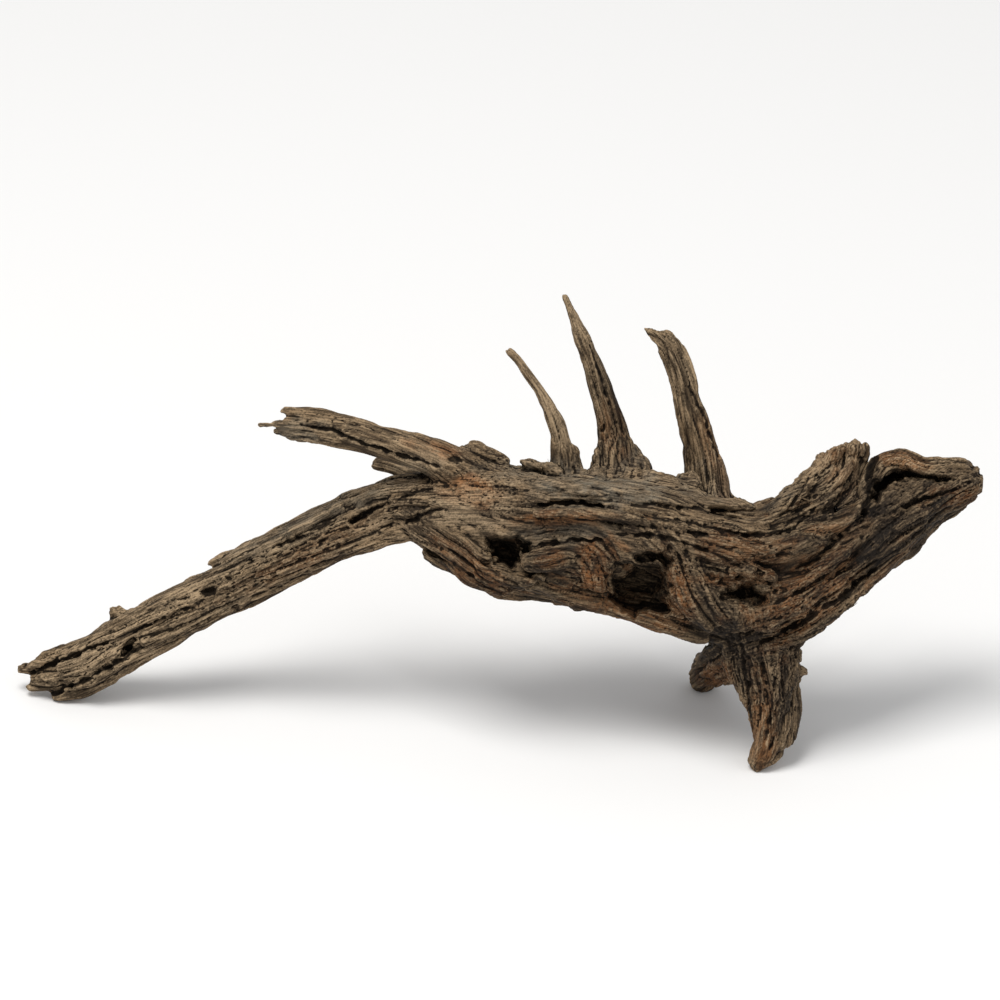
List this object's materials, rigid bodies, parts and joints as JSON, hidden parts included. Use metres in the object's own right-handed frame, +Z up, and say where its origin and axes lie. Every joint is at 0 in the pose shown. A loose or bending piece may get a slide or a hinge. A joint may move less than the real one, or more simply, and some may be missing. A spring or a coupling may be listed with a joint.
{
  "type": "driftwood",
  "caption": "Weathered driftwood root with a hollowed trunk, a long pitted limb, a split branch and upright spikes, standing on its feet and limb tip",
  "frame": {"origin": "on the surface it stands on, under the middle of its bounding box", "axes": "+X along the root from the long limb to the blunt dark end, +Y away from the side shown in the picture, +Z up"},
  "size_m": [0.3884, 0.08, 0.1786],
  "materials": {
    "trunk_wood": "weathered, grey brown with rusty patches",
    "dark_wood": "dark, water-stained, with rusty patches",
    "limb_wood": "dry, pitted and cracked along the grain",
    "spike_wood": "dry, smooth tan with fine grain"
  },
  "bodies": {
    "root": {"trunk": "trunk_wood", "burl_knob": "trunk_wood", "snout": "dark_wood", "front_foot": "dark_wood", "back_toe": "dark_wood", "long_limb": "limb_wood", "split_branch": "limb_wood", "twig_stub": "limb_wood", "left_spike": "spike_wood", "middle_spike": "spike_wood", "right_spike": "spike_wood"}
  },
  "joints": []
}
